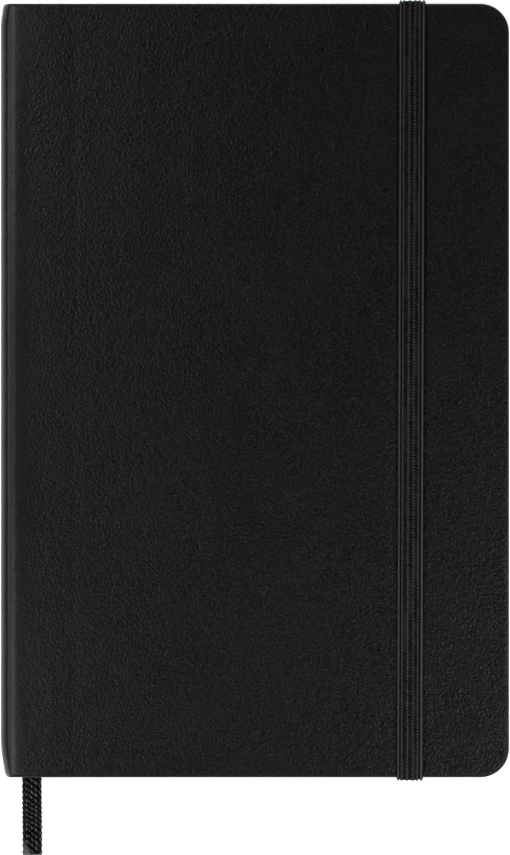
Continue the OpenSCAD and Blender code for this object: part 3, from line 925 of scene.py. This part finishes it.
def add_band():
    route = band_route()
    route = np.c_[np.zeros(len(route)), route]
    centre, along = smooth_path(route, BAND_STEP)
    tangent = np.gradient(centre, along, axis=0)
    tangent /= np.linalg.norm(tangent, axis=1)[:, None]
    normal = np.stack([np.zeros(len(centre)), -tangent[:, 2], tangent[:, 1]], 1)
    o = np.linspace(0, BAND_WIDTH, BAND_COLUMNS)
    x = BAND_X - BAND_WIDTH / 2 + o
    high, painted_light = band_height(o[None], along[:, None])
    top = -0.02 + RIB_RISE * high
    from_edge = np.minimum(o, BAND_WIDTH - o)
    edge = np.where(from_edge > EDGE_ROUND, 1.0, bump_row(from_edge - EDGE_ROUND, EDGE_ROUND))
    top = top * edge[None]
    under_o = np.linspace(BAND_WIDTH - 0.06, 0.06, 9)
    under = np.full((len(along), len(under_o)), BAND_UNDER)
    under[:, [0, -1]] = BAND_UNDER_EDGE
    across = np.r_[x, BAND_X - BAND_WIDTH / 2 + under_o]
    lift_and_painted_light = np.concatenate([top, under], axis=1)
    rings = centre[:, None] + lift_and_painted_light[..., None] * normal[:, None]
    rings[..., 0] = across[None] + BAND_LEAN * (centre[:, 1] / HALF_Y)[:, None]
    points, faces = loft(rings[:, ::-1])
    piece = add_piece("closure_band", points, faces, ELASTIC, sharp_deg=75)
    # the painted highlight and shade go to the material; the underside gets an even 0.2
    set_painted_light(piece, np.concatenate([painted_light, np.full(under.shape, 0.2)], axis=1)[:, ::-1])
    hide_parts("band_front", "band_leg_head", "band_leg_tail",
                "band_end_head", "band_end_tail")
    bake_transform(piece)


add_band()


# ---------------------------------------------------------------- pocket cloth
CLOTH_T = 0.11
CLOTH_GAP = 0.012           # the cloth's clearance from the card above and below it


def fold_section(width, height):
    """The middle line of cloth folded in two, open at 0 and folded at width, as (in, up)."""
    r = (height - CLOTH_T) / 2 - CLOTH_GAP
    arc = np.radians(np.linspace(90, -90, 9))
    nose = np.stack([width - r - CLOTH_T / 2 + r * np.cos(arc), height / 2 + r * np.sin(arc)], 1)
    run = np.linspace(0, nose[0, 0], 12)[:-1]
    sag = 0.035 * np.sin(np.pi * run / nose[0, 0]) ** 2
    upper = np.stack([run, np.full(len(run), nose[0, 1]) - sag], 1)
    lower = np.stack([run, np.full(len(run), nose[-1, 1]) + sag], 1)
    return np.vstack([upper, nose, lower[::-1]])


def add_folded_cloth(name, node, along, outward):
    """Woven cloth folded in along one edge of the pocket; along is its axis, 0 or 1."""
    low, high = node_box(node)
    cross = 1 - along
    width, height = high[cross] - low[cross], high[2] - low[2]
    line = fold_section(width, height)
    t = np.gradient(line, axis=0)
    t /= np.linalg.norm(t, axis=1)[:, None]
    normal = np.stack([t[:, 1], -t[:, 0]], 1) * CLOTH_T / 2
    loop = np.vstack([line + normal, (line - normal)[::-1]])
    stations = np.linspace(low[along], high[along], 90)
    edge = high[cross] if outward > 0 else low[cross]
    rings = []
    for s in stations:
        ring = np.zeros((len(loop), 3))
        ragged = 0.05 * math.sin(s * 2.3) * math.sin(s * 0.71 + 1) * np.clip(1 - loop[:, 0], 0, 1)
        wavy = 0.012 * math.sin(s / 2.7) * np.sin(loop[:, 0] / 1.9)
        ring[:, along] = s
        ring[:, cross] = edge - outward * (loop[:, 0] + 0.06 - ragged)
        ring[:, 2] = low[2] + loop[:, 1] + wavy
        rings.append(ring)
    flip = (along == 0) == (outward > 0)
    points, faces = loft(np.array(rings)[:, ::-1] if flip else np.array(rings))
    piece = add_piece(name, points, faces, POCKET_CLOTH, sharp_deg=60)
    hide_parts(node)
    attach(piece, "back_cover")


add_folded_cloth("pocket_fold_head", "pocket_gusset_head", 0, 1)
add_folded_cloth("pocket_fold_tail", "pocket_gusset_tail", 0, -1)
add_folded_cloth("pocket_fold_fore", "pocket_hinge_cloth", 1, 1)


# ---------------------------------------------------------------- CAD nodes that stay
KEPT = {
    "back_board": BOARD, "front_board": BOARD,
    "back_pastedown": END_PAPER, "front_pastedown": END_PAPER,
    "back_flyleaf": END_PAPER, "front_flyleaf": END_PAPER,
    "pocket_back": END_PAPER, "pocket_panel": CARD,
    **{f"thread_{k:02d}": THREAD for k in range(1, GATHERINGS + 1)},
}
for node_name, node_material in KEPT.items():
    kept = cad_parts[node_name]
    for kept_slot in kept.material_slots:
        kept_slot.material = node_material
    if not kept.material_slots:
        kept.data.materials.append(node_material)


# ---------------------------------------------------------------- floor and light
def glowing_floor_material():
    m = Nodes("pale_floor", (0.93, 0.93, 0.93), 0.9)
    m.mix_colors(m.noise(60, detail=2.0), (0.9, 0.9, 0.9), (0.93, 0.93, 0.93))
    # the floor glows: painted light that keeps it white where the lamps fall off and fills in the
    # object's shadows; the glow is 0.7 near the object, 0.92 from 0.45 m out, and up to 0.16
    # weaker from 0.8 m to 3 m
    m.shader.inputs["Emission Color"].default_value = (1, 1, 1, 1)
    away = m.add("ShaderNodeVectorMath", operation="LENGTH")
    m.put(m.place, away.inputs[0])
    near = m.fit(away.outputs["Value"], 0.12, 0.45, 0.7, 0.92)      # metres from the object
    far = m.fit(away.outputs["Value"], 0.8, 3.0, 0.0, -0.16)
    m.put(m.plus(near, far), m.shader.inputs["Emission Strength"])
    return m.material


FLOOR_HALF = 3000.0
FLOOR_Z = -0.02             # just under the object, so that their faces don't share a plane


def add_floor():
    corners = [(x * FLOOR_HALF, y * FLOOR_HALF, 0)
               for x, y in ((-1, -1), (1, -1), (1, 1), (-1, 1))]
    floor = add_piece("floor", corners, [[0, 1, 2, 3]], glowing_floor_material())
    floor.location.z = FLOOR_Z * MM


def add_light(name, place, size, power, target, spread):
    """A soft rectangle of light; places are in metres and power in watts."""
    data = bpy.data.lights.new(name, "AREA")
    data.shape, data.size, data.size_y = "RECTANGLE", *size
    data.energy, data.spread = power, math.radians(spread)
    light = bpy.data.objects.new(name, data)
    bpy.context.scene.collection.objects.link(light)
    light.location = place
    light.visible_camera = False
    direction = np.array(target, float) - np.array(place, float)
    yaw = math.atan2(direction[1], direction[0])
    tilt = math.acos(-direction[2] / np.linalg.norm(direction))
    light.rotation_euler = (0, -tilt, yaw)


WIDE, NARROW = 100, 24      # how far the lights spread, in degrees
LIGHTS = [
    # name, place, size, power, target, spread
    ("soft_left_tail", (-0.13, -0.085, 0.16), (0.08, 0.12), 0.043, (-0.075, -0.05, 0), WIDE),
    ("soft_left_head", (-0.13, 0.085, 0.16), (0.08, 0.12), 0.038, (-0.075, 0.05, 0), WIDE),
    ("soft_right_tail", (0.14, -0.1, 0.15), (0.08, 0.14), 0.066, (0.085, -0.075, 0), WIDE),
    ("soft_low_left", (-0.33, 0.0, 0.17), (0.08, 0.3), 0.0078, (-0.046, 0, 0), NARROW),
    ("soft_right_head", (0.14, 0.1, 0.15), (0.08, 0.14), 0.014, (0.085, 0.075, 0), WIDE),
    ("soft_low_head", (0.0, 0.33, 0.17), (0.08, 0.3), 0.009, (0, 0.07, 0), NARROW),
    ("soft_low_tail", (0.0, -0.33, 0.17), (0.08, 0.3), 0.007, (0, -0.07, 0), NARROW),
]


def add_studio():
    for light in LIGHTS:
        add_light(*light)
    world = bpy.data.worlds.new("studio")
    world.use_nodes = True
    tree = world.node_tree
    up = tree.nodes.new("ShaderNodeSeparateXYZ")
    tree.links.new(tree.nodes.new("ShaderNodeTexCoord").outputs["Generated"], up.inputs[0])
    fade = tree.nodes.new("ShaderNodeMapRange")
    for name, value in (("From Min", 0.0), ("From Max", 0.6), ("To Min", 0.14), ("To Max", 0.03)):
        fade.inputs[name].default_value = value
    tree.links.new(up.outputs["Z"], fade.inputs["Value"])
    tree.links.new(fade.outputs["Result"], tree.nodes["Background"].inputs["Strength"])
    tree.nodes["Background"].inputs["Color"].default_value = (1, 1, 1, 1)
    bpy.context.scene.world = world
    bpy.context.scene.view_settings.view_transform = "Standard"


add_floor()
add_studio()
